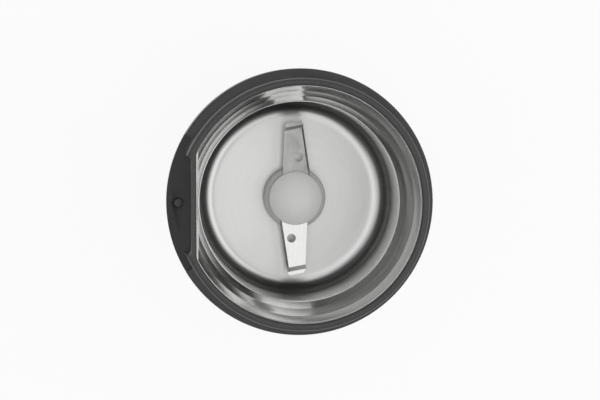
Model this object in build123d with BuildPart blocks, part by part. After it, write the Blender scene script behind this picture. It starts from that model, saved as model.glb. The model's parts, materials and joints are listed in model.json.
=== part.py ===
from build123d import *
import math
import os

# Electric spice grinder: a steel bowl and blade on top of a universal motor, in a round tapered housing.
# Millimetres, +Z up. The origin is on the table under the blade shaft; the start plunger is towards -X.

# ---------------------------------------------------------------- driving dimensions
# bowl
bowl_lower_radius = 33.8  # round lower bowl, inside
bowl_flare = 5.4  # how far the banded upper wall leans out
bowl_lower_depth = 25.0  # floor to step
bowl_upper_height = 15.4  # step to mouth
bowl_band_count = 3
bowl_band_bulge = 0.14
bowl_step_width = 0.5
bowl_floor_fillet = 6.0
bowl_sheet = 0.6
bowl_flange_width = 1.1
bowl_chord_inset = 4.0  # flat side of the mouth, in from the round mouth
bowl_chord_lean = 1.0  # how far the flat side leans in towards the step
bowl_mouth_corner = 4.5
seal_hole_radius = 5.0

# top ring
collar_wall = 1.4
collar_height = 13.0  # collar top above the lid shoulder
collar_edge = 1.4
lip_thickness = 1.6
lip_reveal = 0.1  # the lip's edge stands this far outside the steel mouth
lip_edge = 0.9
shoulder_width = 3.2
shoulder_thickness = 2.4
ring_skirt_depth = 9.0  # outer skirt below the shoulder
shoulder_edge = 0.8
chord_wall = 1.0  # plastic behind the bowl's flat side
ledge_drop = 3.0  # plunger ledge below the lid shoulder
ledge_half_angle = 31.0
ledge_rim = 0.6  # a narrow strip of the lid shoulder runs on round the collar's foot
recess_half_width = 16.6
recess_corner = 2.2
tongue_wall = 1.2
tongue_depth = 3.0
boss_radius = 2.8
boss_count = 4

# outer shell
shell_wall = 1.9
shell_taper = 4.8  # the foot is this much smaller in radius than the top
shell_bottom_edge = 1.0

# base and feet
foot_stand = 1.8
foot_radius = 4.5
foot_recess = 1.0
foot_count = 4
foot_inset = 4.2  # from the base screws in to the feet
base_thickness = 2.6
base_rebate = 0.15
base_screw_inset = 6.7  # from the shell's foot in to the screws
base_screw_count = 3
base_screw_start_angle = 60.0  # from +X
vent_width = 2.4
vent_count = 10
vent_inner = 11.0
vent_outer = 20.0
screw_head_radius = 2.85
screw_head_height = 1.8
screw_cross_length = 3.4
screw_cross_width = 0.6

# blade group
blade_length = 52.3
blade_thickness = 1.2
blade_root_width = 9.4
blade_tip_width = 5.9
blade_sweep = 0.5  # leading edge stands further out than the trailing one
blade_hole_radius = 1.5
blade_hole_reach = 14.1
blade_hole_shift = 1.3
blade_bend_angle = 11.0
blade_tab_length = 1.3
blade_tab_rise = 1.3
blade_bevel = 0.7
blade_notch_radius = 0.5
seat_radius = 10.8
seat_height = 5.0
seat_floor_gap = 1.6
cap_radius = 9.3
cap_height = 7.0
nut_flats = 8.0
nut_height = 3.2

# rotor
shaft_radius = 3.0
spigot_radius = 2.4
spigot_flat = 1.9
core_radius = 14.5
core_height = 20.0
core_slot_count = 10
core_slot_width = 1.6
core_slot_depth = 4.9
winding_radius = 12.6
winding_height = 6.0
commutator_radius = 9.0
commutator_height = 11.0
commutator_bars = 20
commutator_gap = 0.5
fan_radius = 21.0
fan_height = 7.0
fan_blade_count = 9
fan_disc = 1.2

# stator
air_gap = 0.5
stator_width = 46.0
stator_length = 56.0
stator_corner = 9.0
pole_half_width = 9.2
window_outer_x = 16.8
window_outer_y = 21.8
coil_overhang = 6.0

# brackets, bushes, brushes
plate_thickness = 3.0
plate_radius = 30.0
plate_hub_radius = 9.0
plate_hub_depth = 5.0
bush_radius = 5.5
bush_height = 7.6
bracket_thickness = 2.5
bracket_half_width = 12.0
bracket_hub_depth = 2.6
brush_width = 5.0
brush_length = 10.0
brush_spring_length = 5.0
brush_spring_radius = 1.8
brush_spring_turns = 4
holder_wall = 1.6
brush_cap_length = 1.6
bolt_circle = 25.0
bolt_radius = 1.5
pillar_radius = 3.2
capacitor_width = 5.5
capacitor_length = 11.0
capacitor_height = 12.0
capacitor_angle = 45.0

# start plunger and switch
plunger_radius = 1.3
plunger_well_radius = 1.9
plunger_well_depth = 1.2
plunger_travel = 2.0
plunger_flange_radius = 2.7
plunger_flange = 1.6
plunger_stem_radius = 0.7
guide_length = 2.2
spring_length = 6.4
spring_wire = 0.4
spring_turns = 5
retainer_wall = 1.3
switch_length = 18.0
switch_width = 5.2
switch_height = 9.3
lever_rest_angle = 7.0
lever_thickness = 0.4
lever_strip = 2.4
lever_pivot_height = 1.5
lever_pivot_radius = 0.4
lever_ear = 0.6
button_radius = 0.9
button_reach = 4.0
button_depth = 2.0
terminal_width = 3.2
terminal_thickness = 0.6
terminal_length = 6.0
post_width = 1.8

# cord gland
cord_hole_radius = 3.2
gland_radius = 5.2
gland_flange = 1.4
gland_height = 14.0

# clearances
running_clearance = 0.05
small_gap = 0.3
fit_clearance = 0.1
gasket_thickness = 1.4
part_gap = 3.0
fan_gap = 1.8

# ---------------------------------------------------------------- heights, from the table up
base_bottom = foot_stand
base_top = base_bottom + base_thickness
fan_bottom = base_top + fan_gap
fan_top = fan_bottom + fan_height
bracket_hub_bottom = fan_top + fan_gap
bracket_bottom = bracket_hub_bottom + bracket_hub_depth
bracket_top = bracket_bottom + bracket_thickness
lower_bush_top = bracket_hub_bottom + bush_height
commutator_bottom = lower_bush_top + fan_gap
commutator_top = commutator_bottom + commutator_height
core_bottom = commutator_top + part_gap + winding_height
core_top = core_bottom + core_height
plate_hub_bottom = core_top + winding_height + part_gap
plate_bottom = plate_hub_bottom + plate_hub_depth
plate_top = plate_bottom + plate_thickness
bowl_underside = plate_top + gasket_thickness
floor_top = bowl_underside + bowl_sheet
step_height = floor_top + bowl_lower_depth
mouth_height = step_height + bowl_upper_height
collar_top = mouth_height + lip_thickness
shoulder_top = collar_top - collar_height
ledge_top = shoulder_top - ledge_drop
skirt_bottom = shoulder_top - ring_skirt_depth
brush_height = (commutator_bottom + commutator_top) / 2

seat_bottom = floor_top + seat_floor_gap
seat_top = seat_bottom + seat_height
blade_top = seat_top + blade_thickness
nut_top = blade_top + nut_height
cap_top = blade_top + cap_height
shaft_top = nut_top + small_gap

# ---------------------------------------------------------------- radii, from the bowl out
bowl_mouth_radius = bowl_lower_radius + bowl_flare
flange_radius = bowl_mouth_radius + bowl_flange_width
collar_inner = flange_radius + fit_clearance
collar_radius = collar_inner + collar_wall
body_radius = collar_radius + shoulder_width
chord_inner = bowl_mouth_radius - bowl_chord_inset
chord_outer = chord_inner + bowl_sheet + fit_clearance + chord_wall
plunger_x = -(chord_outer + body_radius) / 2
boss_circle = bowl_lower_radius + bowl_sheet + boss_radius + small_gap
shell_top_radius = body_radius - small_gap
shell_foot_radius = shell_top_radius - shell_taper
base_screw_circle = shell_foot_radius - base_screw_inset
foot_circle = base_screw_circle - foot_inset
gland_seat_radius = shell_foot_radius + shell_taper * (gland_height - base_bottom) / (skirt_bottom - base_bottom)
stator_bore = core_radius + air_gap


def write(piece, name):
    """Labels one finished piece and writes it as its own STEP file."""
    piece.part.label = name
    export_step(piece.part, f"parts/{name}.step")


STAND = (Align.CENTER, Align.CENTER, Align.MIN)
os.makedirs("parts", exist_ok=True)


# ---------------------------------------------------------------- grinding bowl
def bowl_upper_form(grow, flange_reach):
    """The banded upper bowl as a solid plug, grown by the sheet, with the mouth's flat side and corners."""
    low = step_height - grow
    mouth_reach = bowl_mouth_radius + max(grow, flange_reach)
    band_rise = bowl_upper_height / bowl_band_count
    band_run = (bowl_flare - bowl_step_width) / bowl_band_count
    with BuildPart() as form:
        with BuildSketch(Plane.XZ):
            with BuildLine():
                start = (bowl_lower_radius + bowl_step_width + grow, low)
                axis_foot = (0, low)
                Line(axis_foot, start)
                last = start
                for band in range(1, bowl_band_count + 1):
                    reach = bowl_lower_radius + bowl_step_width + band * band_run + grow
                    rise = step_height + band * band_rise - grow
                    SagittaArc(last, (reach, rise), -bowl_band_bulge)
                    last = (reach, rise)
                if mouth_reach > last[0]:
                    Line(last, (mouth_reach, last[1]))
                if mouth_height > last[1]:
                    Line((mouth_reach, last[1]), (mouth_reach, mouth_height))
                Polyline((mouth_reach, mouth_height), (0, mouth_height), axis_foot)
            make_face()
        revolve(axis=Axis.Z)
        with BuildSketch(Plane.XY.offset(mouth_height)) as mouth:
            Circle(mouth_reach + bowl_sheet)
            with Locations((-chord_inner - grow, 0)):
                Rectangle(body_radius, 2 * body_radius, align=(Align.MAX, Align.CENTER), mode=Mode.SUBTRACT)
            fillet(mouth.vertices(), bowl_mouth_corner + grow)
        lean = math.degrees(math.atan(bowl_chord_lean / bowl_upper_height))
        extrude(amount=-(mouth_height - low), taper=lean, mode=Mode.INTERSECT)
    return form.part


def bowl_lower_form(grow):
    """The round lower bowl as a solid plug with a rounded floor edge, grown by the sheet."""
    corner = bowl_floor_fillet + grow
    reach = bowl_lower_radius + grow
    bottom = floor_top - grow
    with BuildPart() as form:
        with BuildSketch(Plane.XZ):
            with BuildLine():
                Polyline((0, bottom), (reach - corner, bottom))
                RadiusArc((reach - corner, bottom), (reach, bottom + corner), -corner)
                Polyline((reach, bottom + corner), (reach, step_height), (0, step_height), (0, bottom))
            make_face()
        revolve(axis=Axis.Z)
    return form.part


bowl_outside_top = bowl_upper_form(bowl_sheet, bowl_flange_width)
bowl_outside_low = bowl_lower_form(bowl_sheet)
bowl_inside_top = bowl_upper_form(0, 0)
bowl_inside_low = bowl_lower_form(0)

with BuildPart() as grinding_bowl:
    add(bowl_outside_top)
    add(bowl_outside_low)
    add(bowl_inside_top, mode=Mode.SUBTRACT)
    add(bowl_inside_low, mode=Mode.SUBTRACT)
    with BuildSketch(Plane.XY.offset(bowl_underside)):
        Circle(seal_hole_radius)
    extrude(amount=bowl_sheet, mode=Mode.SUBTRACT)
write(grinding_bowl, "grinding_bowl")


# ---------------------------------------------------------------- top ring: shoulder, collar, ledge and bosses
plunger_guide_radius = plunger_radius + running_clearance + retainer_wall
lip_inner = bowl_mouth_radius + lip_reveal
shoulder_bottom = shoulder_top - shoulder_thickness
ledge_bottom = ledge_top - shoulder_thickness
tongue_outer = shell_top_radius - shell_wall - small_gap
tongue_bottom = skirt_bottom - tongue_depth
boss_bottom = plate_top + gasket_thickness
boss_angles = [45 + 360 / boss_count * step for step in range(boss_count)]
boss_top = step_height - bowl_sheet - fit_clearance


def d_outline(radius, flat, corner):
    """A circle with a flat side towards -X and rounded corners, as a sketch on the XY plane."""
    with BuildSketch() as outline:
        Circle(radius)
        with Locations((-flat, 0)):
            Rectangle(radius, 2 * radius, align=(Align.MAX, Align.CENTER), mode=Mode.SUBTRACT)
        fillet(outline.vertices(), corner)
    return outline.sketch


sector_reach = body_radius + shoulder_width
sector_side = sector_reach * math.tan(math.radians(ledge_half_angle))
collar_inside_sketch = d_outline(collar_inner, chord_outer - chord_wall, bowl_mouth_corner)
lip_sketch = d_outline(lip_inner, chord_inner + lip_reveal, bowl_mouth_corner + lip_reveal)

with BuildPart() as top_ring:
    with BuildSketch(Plane.XZ):
        with BuildLine():
            shoulder_start = (body_radius - shoulder_edge, shoulder_top)
            skirt_start = (body_radius, shoulder_top - shoulder_edge)
            RadiusArc(shoulder_start, skirt_start, shoulder_edge)
            Polyline(
                skirt_start,
                (body_radius, skirt_bottom),
                (tongue_outer, skirt_bottom),
                (tongue_outer, tongue_bottom),
                (tongue_outer - tongue_wall, tongue_bottom),
                (tongue_outer - tongue_wall, shoulder_bottom),
                (collar_inner, shoulder_bottom),
                (collar_inner, shoulder_top),
                shoulder_start,
            )
        make_face()
    revolve(axis=Axis.Z)
    with BuildSketch(Plane.XY.offset(ledge_top)):
        Polygon((0, 0), (-sector_reach, sector_side), (-sector_reach, -sector_side), align=None)
        Circle(collar_radius + ledge_rim, mode=Mode.SUBTRACT)
    extrude(amount=ledge_drop, mode=Mode.SUBTRACT)
    with BuildSketch(Plane.XY.offset(ledge_bottom)):
        Circle(body_radius)
        with Locations((chord_wall - chord_outer, 0)):
            Rectangle(2 * body_radius, 2 * body_radius, align=(Align.MIN, Align.CENTER), mode=Mode.SUBTRACT)
    extrude(amount=shoulder_thickness)
    with Locations((0, 0, ledge_bottom)):
        Cylinder(collar_radius, collar_top - ledge_bottom, align=STAND)
    fillet(top_ring.edges().sort_by(Axis.Z)[-1], collar_edge)
    with BuildSketch(Plane.XY.offset(ledge_top)):
        with Locations((-chord_outer - collar_radius / 2, 0)):
            RectangleRounded(collar_radius, 2 * recess_half_width, recess_corner)
    extrude(amount=collar_top - ledge_top, mode=Mode.SUBTRACT)
    with BuildSketch(Plane.XY.offset(tongue_bottom)):
        add(collar_inside_sketch)
    extrude(amount=mouth_height - tongue_bottom, mode=Mode.SUBTRACT)
    with BuildSketch(Plane.XY.offset(mouth_height)):
        add(lip_sketch)
    extrude(amount=lip_thickness, mode=Mode.SUBTRACT)
    lip_rim = top_ring.faces().sort_by(Axis.Z)[-1].inner_wires()[0].edges()
    fillet(lip_rim, lip_edge)
    with PolarLocations(boss_circle, boss_count, start_angle=boss_angles[0]):
        with Locations((0, 0, boss_bottom)):
            Cylinder(boss_radius, boss_top - boss_bottom, align=STAND)
        with Locations((0, 0, tongue_bottom)):
            Box(
                tongue_outer - boss_circle,
                boss_radius,
                shoulder_bottom - tongue_bottom,
                align=(Align.MIN, Align.CENTER, Align.MIN),
            )
    with PolarLocations(boss_circle, boss_count, start_angle=boss_angles[0]):
        with Locations((0, 0, boss_bottom)):
            Cylinder(bolt_radius, bowl_lower_depth / 2, align=STAND, mode=Mode.SUBTRACT)
    with Locations((plunger_x, 0, ledge_bottom - guide_length)):
        Cylinder(plunger_guide_radius, guide_length, align=STAND)
    with Locations((plunger_x, 0, ledge_bottom - guide_length)):
        Cylinder(
            plunger_radius + running_clearance,
            guide_length + shoulder_thickness,
            align=STAND,
            mode=Mode.SUBTRACT,
        )
    with Locations((plunger_x, 0, ledge_top - plunger_well_depth)):
        Cylinder(plunger_well_radius, plunger_well_depth, align=STAND, mode=Mode.SUBTRACT)
    with Locations((plunger_x - plunger_radius - small_gap, 0, tongue_bottom)):
        Box(
            body_radius - chord_outer,
            2 * (plunger_flange_radius + small_gap),
            ledge_bottom - guide_length - tongue_bottom,
            align=(Align.MIN, Align.CENTER, Align.MIN),
            mode=Mode.SUBTRACT,
        )
write(top_ring, "top_ring")


# ---------------------------------------------------------------- outer shell with its base screw bosses and gland hole
gland_hole_radius = gland_radius - gland_flange
base_boss_bottom = base_top
base_boss_height = fan_height


with BuildPart() as outer_shell:
    with BuildSketch(Plane.XZ):
        Polygon(
            (shell_foot_radius - shell_wall, base_bottom),
            (shell_foot_radius - shell_bottom_edge, base_bottom),
            (shell_foot_radius, base_bottom + shell_bottom_edge),
            (shell_top_radius, skirt_bottom),
            (shell_top_radius - shell_wall, skirt_bottom),
            align=None,
        )
    revolve(axis=Axis.Z)
    with PolarLocations(base_screw_circle, base_screw_count, start_angle=base_screw_start_angle):
        with Locations((0, 0, base_boss_bottom)):
            Cylinder(boss_radius, base_boss_height, align=STAND)
            Box(
                shell_foot_radius - shell_wall / 2 - base_screw_circle,
                boss_radius,
                base_boss_height,
                align=(Align.MIN, Align.CENTER, Align.MIN),
            )
    with PolarLocations(base_screw_circle, base_screw_count, start_angle=base_screw_start_angle):
        with Locations((0, 0, base_boss_bottom)):
            Cylinder(bolt_radius, base_boss_height, align=STAND, mode=Mode.SUBTRACT)
    with BuildSketch(Plane.YZ.offset(shell_foot_radius / 2)):
        with Locations((0, gland_height)):
            Circle(gland_hole_radius)
    extrude(amount=shell_foot_radius, mode=Mode.SUBTRACT)
write(outer_shell, "outer_shell")


# ---------------------------------------------------------------- base plate, its screws and the feet
base_radius = shell_foot_radius - shell_wall - base_rebate
foot_top = base_bottom + foot_recess
foot_start = 360 / foot_count / 2

with BuildPart() as base_plate:
    with BuildSketch(Plane.XY.offset(base_bottom)):
        Circle(base_radius)
    extrude(amount=base_thickness)
    with BuildSketch(Plane.XY.offset(base_bottom)):
        with PolarLocations((vent_inner + vent_outer) / 2, vent_count):
            SlotOverall(vent_outer - vent_inner, vent_width)
    extrude(amount=base_thickness, mode=Mode.SUBTRACT)
    with BuildSketch(Plane.XY.offset(base_bottom)):
        with PolarLocations(foot_circle, foot_count, start_angle=foot_start):
            Circle(foot_radius + fit_clearance)
    extrude(amount=foot_recess, mode=Mode.SUBTRACT)
    with PolarLocations(base_screw_circle, base_screw_count, start_angle=base_screw_start_angle):
        with Locations((0, 0, base_bottom)):
            Cylinder(
                bolt_radius + fit_clearance,
                base_thickness,
                align=STAND,
                mode=Mode.SUBTRACT,
            )
            Cylinder(
                screw_head_radius + small_gap,
                screw_head_height,
                align=STAND,
                mode=Mode.SUBTRACT,
            )
write(base_plate, "base_plate")

with BuildPart() as base_screws:
    with PolarLocations(base_screw_circle, base_screw_count, start_angle=base_screw_start_angle):
        with Locations((0, 0, base_bottom)):
            Cylinder(screw_head_radius, screw_head_height, align=STAND)
        with Locations((0, 0, base_bottom + screw_head_height)):
            Cylinder(
                bolt_radius,
                base_thickness - screw_head_height + base_boss_height / 2,
                align=STAND,
            )
    with PolarLocations(base_screw_circle, base_screw_count, start_angle=base_screw_start_angle):
        with Locations((0, 0, base_bottom)):
            Box(screw_cross_length, screw_cross_width, screw_head_height / 2, align=STAND, mode=Mode.SUBTRACT)
            Box(screw_cross_width, screw_cross_length, screw_head_height / 2, align=STAND, mode=Mode.SUBTRACT)
write(base_screws, "base_screws")

with BuildPart() as rubber_feet:
    with PolarLocations(foot_circle, foot_count, start_angle=foot_start):
        Cylinder(foot_radius, foot_top, align=STAND)
    chamfer(rubber_feet.edges().group_by(Axis.Z)[0], foot_recess / 2)
write(rubber_feet, "rubber_feet")


# ---------------------------------------------------------------- cord gland
with BuildPart() as cord_gland:
    inside_face = Plane.YZ.offset(gland_seat_radius - shell_wall - gland_flange - small_gap)
    gland_length = shell_wall + 2 * gland_flange + 3 * small_gap
    with BuildSketch(inside_face):
        with Locations((0, gland_height)):
            Circle(gland_hole_radius - fit_clearance)
    extrude(amount=gland_length)
    with BuildSketch(inside_face):
        with Locations((0, gland_height)):
            Circle(gland_radius)
    extrude(amount=gland_flange - small_gap)
    with BuildSketch(inside_face.offset(gland_length)):
        with Locations((0, gland_height)):
            Circle(gland_radius)
    extrude(amount=-gland_flange)
    with BuildSketch(inside_face):
        with Locations((0, gland_height)):
            Circle(cord_hole_radius)
    extrude(amount=gland_length, mode=Mode.SUBTRACT)
write(cord_gland, "cord_gland")


# ---------------------------------------------------------------- blade, its seat, nut, cap and the shaft seal
blade_half = blade_length / 2
bend_plane = Plane(
    origin=(0, 0, seat_top),
    x_dir=Vector(0, 1, 0).rotate(Axis.Z, blade_bend_angle),
    z_dir=Vector(1, 0, 0).rotate(Axis.Z, blade_bend_angle),
)
tab_start = blade_half - blade_tab_length
bend_start = tab_start - blade_tab_rise
root_front = blade_root_width / 2 + blade_sweep
root_back = blade_root_width / 2 - blade_sweep
tip_front = blade_tip_width / 2 - blade_sweep
tip_back = blade_tip_width / 2 + blade_sweep
outline_reach = blade_half + blade_tab_length
tip_slope = math.tan(math.radians(blade_bend_angle))
tip_middle = blade_half / math.cos(math.radians(blade_bend_angle))


def tip_corner(tip, root):
    """Where an arm's long side, given by its half widths at tip and root, meets the slanted end."""
    side = tip + (root - tip) * (outline_reach - tip_middle) / (outline_reach - cap_radius)
    return (side, tip_middle + side * tip_slope)


front_corner = tip_corner(tip_front, root_front)
back_corner = tip_corner(-tip_back, -root_back)
notch_spots = [front_corner, back_corner]
notch_spots += [(-x, -y) for x, y in notch_spots]


def spigot_sketch(height, clearance):
    """The shaft's double-D section at the given height."""
    with BuildSketch(Plane.XY.offset(height)) as section:
        Circle(spigot_radius + clearance)
        Rectangle(2 * spigot_flat + 2 * clearance, 4 * spigot_radius, mode=Mode.INTERSECT)
    return section.sketch


blade_socket = spigot_sketch(seat_top, running_clearance)
seat_web_bottom = seat_top - blade_thickness
seat_socket = spigot_sketch(seat_web_bottom, 0)
shaft_spigot = spigot_sketch(seat_web_bottom, 0)

with BuildPart() as blade:
    with BuildSketch(bend_plane):
        Polygon(
            (-blade_half, blade_tab_rise),
            (-tab_start, blade_tab_rise),
            (-bend_start, 0),
            (bend_start, 0),
            (tab_start, blade_tab_rise),
            (blade_half, blade_tab_rise),
            (blade_half, blade_tab_rise + blade_thickness),
            (tab_start, blade_tab_rise + blade_thickness),
            (bend_start, blade_thickness),
            (-bend_start, blade_thickness),
            (-tab_start, blade_tab_rise + blade_thickness),
            (-blade_half, blade_tab_rise + blade_thickness),
            align=None,
        )
    extrude(amount=blade_root_width, both=True)
    with BuildSketch(Plane.XY.offset(seat_top)):
        Polygon(
            (tip_front, outline_reach),
            (-tip_back, outline_reach),
            (-root_back, cap_radius),
            (-root_front, -cap_radius),
            (-tip_front, -outline_reach),
            (tip_back, -outline_reach),
            (root_back, -cap_radius),
            (root_front, cap_radius),
            align=None,
        )
    extrude(amount=blade_thickness + blade_tab_rise, mode=Mode.INTERSECT)
    leading_edges = blade.edges().filter_by(
        lambda edge: edge.length > cap_radius
        and edge.center().Z > blade_top - fit_clearance
        and edge.center().X * edge.center().Y > 0
    )
    chamfer(leading_edges, blade_bevel)
    with BuildSketch(Plane.XY.offset(seat_top)):
        add(blade_socket)
        with Locations((blade_hole_shift, blade_hole_reach), (-blade_hole_shift, -blade_hole_reach)):
            Circle(blade_hole_radius)
    extrude(amount=blade_thickness, mode=Mode.SUBTRACT)
    with BuildSketch(Plane.XY.offset(seat_top)):
        with Locations(*notch_spots):
            Circle(blade_notch_radius)
    extrude(amount=blade_thickness + blade_tab_rise, mode=Mode.SUBTRACT)
write(blade, "blade")

with BuildPart() as blade_seat:
    with Locations((0, 0, seat_bottom)):
        Cylinder(seat_radius, seat_height, align=STAND)
    chamfer(blade_seat.edges().sort_by(Axis.Z)[-1], blade_bevel)
    with Locations((0, 0, seat_bottom)):
        Cylinder(shaft_radius, seat_web_bottom - seat_bottom, align=STAND, mode=Mode.SUBTRACT)
    with BuildSketch(Plane.XY.offset(seat_web_bottom)):
        add(seat_socket)
    extrude(amount=blade_thickness, mode=Mode.SUBTRACT)
write(blade_seat, "blade_seat")

with BuildPart() as blade_nut:
    with BuildSketch(Plane.XY.offset(blade_top)):
        RegularPolygon(nut_flats / 2, 6, major_radius=False)
        Circle(spigot_radius, mode=Mode.SUBTRACT)
    extrude(amount=nut_height)
write(blade_nut, "blade_nut")

cap_side = blade_thickness
dome_rise = cap_height - cap_side
dome_radius = (cap_radius**2 + dome_rise**2) / (2 * dome_rise)
with BuildPart() as hub_cap:
    with BuildSketch(Plane.XZ):
        with BuildLine():
            Polyline((0, cap_top), (0, blade_top), (cap_radius, blade_top), (cap_radius, blade_top + cap_side))
            RadiusArc((cap_radius, blade_top + cap_side), (0, cap_top), -dome_radius)
        make_face()
    revolve(axis=Axis.Z)
    with BuildSketch(Plane.XY.offset(blade_top)):
        RegularPolygon(nut_flats / 2 + fit_clearance, 6, major_radius=False)
    extrude(amount=nut_height + 2 * small_gap, mode=Mode.SUBTRACT)
write(hub_cap, "hub_cap")

seal_flange = seat_floor_gap - 2 * small_gap
with BuildPart() as shaft_seal:
    with Locations((0, 0, bowl_underside - seal_flange)):
        Cylinder(seal_hole_radius, 2 * seal_flange + bowl_sheet, align=STAND)
        Cylinder(seal_hole_radius + seal_flange, seal_flange, align=STAND)
    with Locations((0, 0, floor_top)):
        Cylinder(seal_hole_radius + 2 * seal_flange, seal_flange, align=STAND)
    with Locations((0, 0, bowl_underside - seal_flange)):
        Cylinder(
            shaft_radius + running_clearance, 2 * seal_flange + bowl_sheet, align=STAND, mode=Mode.SUBTRACT
        )
write(shaft_seal, "shaft_seal")

gasket_inner = seal_hole_radius + seal_flange + fit_clearance
with BuildPart() as bowl_gasket:
    with Locations((0, 0, plate_top)):
        Cylinder(2 * gasket_inner, gasket_thickness, align=STAND)
        Cylinder(gasket_inner, gasket_thickness, align=STAND, mode=Mode.SUBTRACT)
write(bowl_gasket, "bowl_gasket")


# ---------------------------------------------------------------- rotor
def bush(bottom, name):
    """A plain bronze bush round the shaft."""
    with BuildPart() as ring:
        with Locations((0, 0, bottom)):
            Cylinder(bush_radius, bush_height, align=STAND)
            Cylinder(shaft_radius + running_clearance, bush_height, align=STAND, mode=Mode.SUBTRACT)
    write(ring, name)


bush(plate_hub_bottom, "upper_bush")
bush(bracket_hub_bottom, "lower_bush")

with BuildPart() as motor_shaft:
    with Locations((0, 0, fan_bottom)):
        Cylinder(shaft_radius, seat_web_bottom - fan_bottom, align=STAND)
    with BuildSketch(Plane.XY.offset(seat_web_bottom)):
        add(shaft_spigot)
    extrude(amount=shaft_top - seat_web_bottom)
write(motor_shaft, "motor_shaft")

with BuildPart() as armature_core:
    with BuildSketch(Plane.XY.offset(core_bottom)):
        Circle(core_radius)
        with PolarLocations(core_radius - core_slot_depth, core_slot_count):
            Rectangle(
                2 * core_slot_depth, core_slot_width, align=(Align.MIN, Align.CENTER), mode=Mode.SUBTRACT
            )
        Circle(shaft_radius, mode=Mode.SUBTRACT)
    extrude(amount=core_height)
write(armature_core, "armature_core")

with BuildPart() as armature_windings:
    for winding_bottom in (core_bottom - winding_height, core_top):
        with Locations((0, 0, winding_bottom)):
            Cylinder(winding_radius, winding_height, align=STAND)
    fillet(armature_windings.edges().filter_by(GeomType.CIRCLE), winding_height / 3)
    with Locations((0, 0, core_bottom - winding_height)):
        Cylinder(shaft_radius, core_height + 2 * winding_height, align=STAND, mode=Mode.SUBTRACT)
write(armature_windings, "armature_windings")

with BuildPart() as commutator:
    with BuildSketch(Plane.XY.offset(commutator_bottom)):
        Circle(commutator_radius)
        with PolarLocations(commutator_radius, commutator_bars):
            Rectangle(2 * commutator_gap, commutator_gap, mode=Mode.SUBTRACT)
        Circle(shaft_radius, mode=Mode.SUBTRACT)
    extrude(amount=commutator_height)
write(commutator, "commutator")

with BuildPart() as cooling_fan:
    with BuildSketch(Plane.XY.offset(fan_bottom)):
        Circle(fan_radius)
    extrude(amount=fan_disc)
    with BuildSketch(Plane.XY.offset(fan_bottom)):
        Circle(bush_radius)
        with PolarLocations(0, fan_blade_count):
            with Locations((bush_radius - fan_disc, bush_radius / 2)):
                Rectangle(fan_radius - bush_radius - fan_disc, fan_disc, align=(Align.MIN, Align.CENTER))
    extrude(amount=fan_height)
    with BuildSketch(Plane.XY.offset(fan_bottom)):
        Circle(shaft_radius)
    extrude(amount=fan_height, mode=Mode.SUBTRACT)
write(cooling_fan, "cooling_fan")

with BuildPart() as thrust_washers:
    with Locations((0, 0, fan_top)):
        Cylinder(bush_radius, bracket_hub_bottom - fan_top - small_gap, align=STAND)
    with Locations((0, 0, core_top + winding_height)):
        Cylinder(bush_radius, plate_hub_bottom - core_top - winding_height - small_gap, align=STAND)
    with Locations((0, 0, fan_top)):
        Cylinder(shaft_radius, plate_hub_bottom - fan_top, align=STAND, mode=Mode.SUBTRACT)
write(thrust_washers, "thrust_washers")


# ---------------------------------------------------------------- stator
with BuildPart() as stator_core:
    with BuildSketch(Plane.XY.offset(core_bottom)):
        RectangleRounded(stator_width, stator_length, stator_corner)
        Circle(stator_bore, mode=Mode.SUBTRACT)
        for side in (-1, 1):
            with Locations((side * (pole_half_width + window_outer_x) / 2, 0)):
                Rectangle(window_outer_x - pole_half_width, 2 * window_outer_y, mode=Mode.SUBTRACT)
        with Locations((0, bolt_circle), (0, -bolt_circle)):
            Circle(bolt_radius + fit_clearance, mode=Mode.SUBTRACT)
    extrude(amount=core_height)
write(stator_core, "stator_core")

coil_inner_y = stator_bore + fit_clearance
coil_depth = window_outer_y - coil_inner_y - fit_clearance
with BuildPart() as field_coils:
    for side in (-1, 1):
        with Locations((0, side * (coil_inner_y + coil_depth / 2), core_bottom - coil_overhang)):
            Box(2 * (window_outer_x - fit_clearance), coil_depth, core_height + 2 * coil_overhang, align=STAND)
    fillet(field_coils.edges().filter_by(Axis.Y), coil_overhang / 2)
    with Locations((0, 0, core_bottom)):
        Box(2 * pole_half_width, stator_length, core_height, align=STAND, mode=Mode.SUBTRACT)
write(field_coils, "field_coils")


# ---------------------------------------------------------------- lower bracket and brush gear
holder_start = commutator_radius + holder_wall
holder_length = brush_length + brush_spring_length + brush_cap_length - holder_wall + small_gap
holder_half = brush_width / 2 + fit_clearance + holder_wall
holder_end = holder_start + holder_length
holder_top = brush_height + holder_half
bolt_spots = [(0, bolt_circle), (0, -bolt_circle)]

with BuildPart() as lower_bracket:
    with BuildSketch(Plane.XY.offset(bracket_bottom)):
        Circle(bolt_circle)
        Rectangle(2 * holder_end, 2 * bracket_half_width)
        with Locations(*bolt_spots):
            Circle(pillar_radius)
    extrude(amount=bracket_thickness)
    with Locations((0, 0, bracket_hub_bottom)):
        Cylinder(plate_hub_radius, bush_height, align=STAND)
    with Locations(*[(x, y, bracket_top) for x, y in bolt_spots]):
        Cylinder(pillar_radius, core_bottom - bracket_top, align=STAND)
    with Locations((0, 0, bracket_hub_bottom)):
        Cylinder(bush_radius, bush_height, align=STAND, mode=Mode.SUBTRACT)
    with Locations(*[(x, y, bracket_bottom) for x, y in bolt_spots]):
        Cylinder(
            bolt_radius + fit_clearance, core_bottom - bracket_bottom, align=STAND, mode=Mode.SUBTRACT
        )
write(lower_bracket, "lower_bracket")

with BuildPart() as brush_holders:
    for side in (-1, 1):
        with Locations((side * (holder_start + holder_length / 2), 0, bracket_top)):
            Box(holder_length, 2 * holder_half, holder_top - bracket_top, align=STAND)
    with Locations((0, 0, brush_height)):
        Box(
            2 * holder_end,
            brush_width + 2 * fit_clearance,
            brush_width + 2 * fit_clearance,
            mode=Mode.SUBTRACT,
        )
write(brush_holders, "brush_holders")

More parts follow.
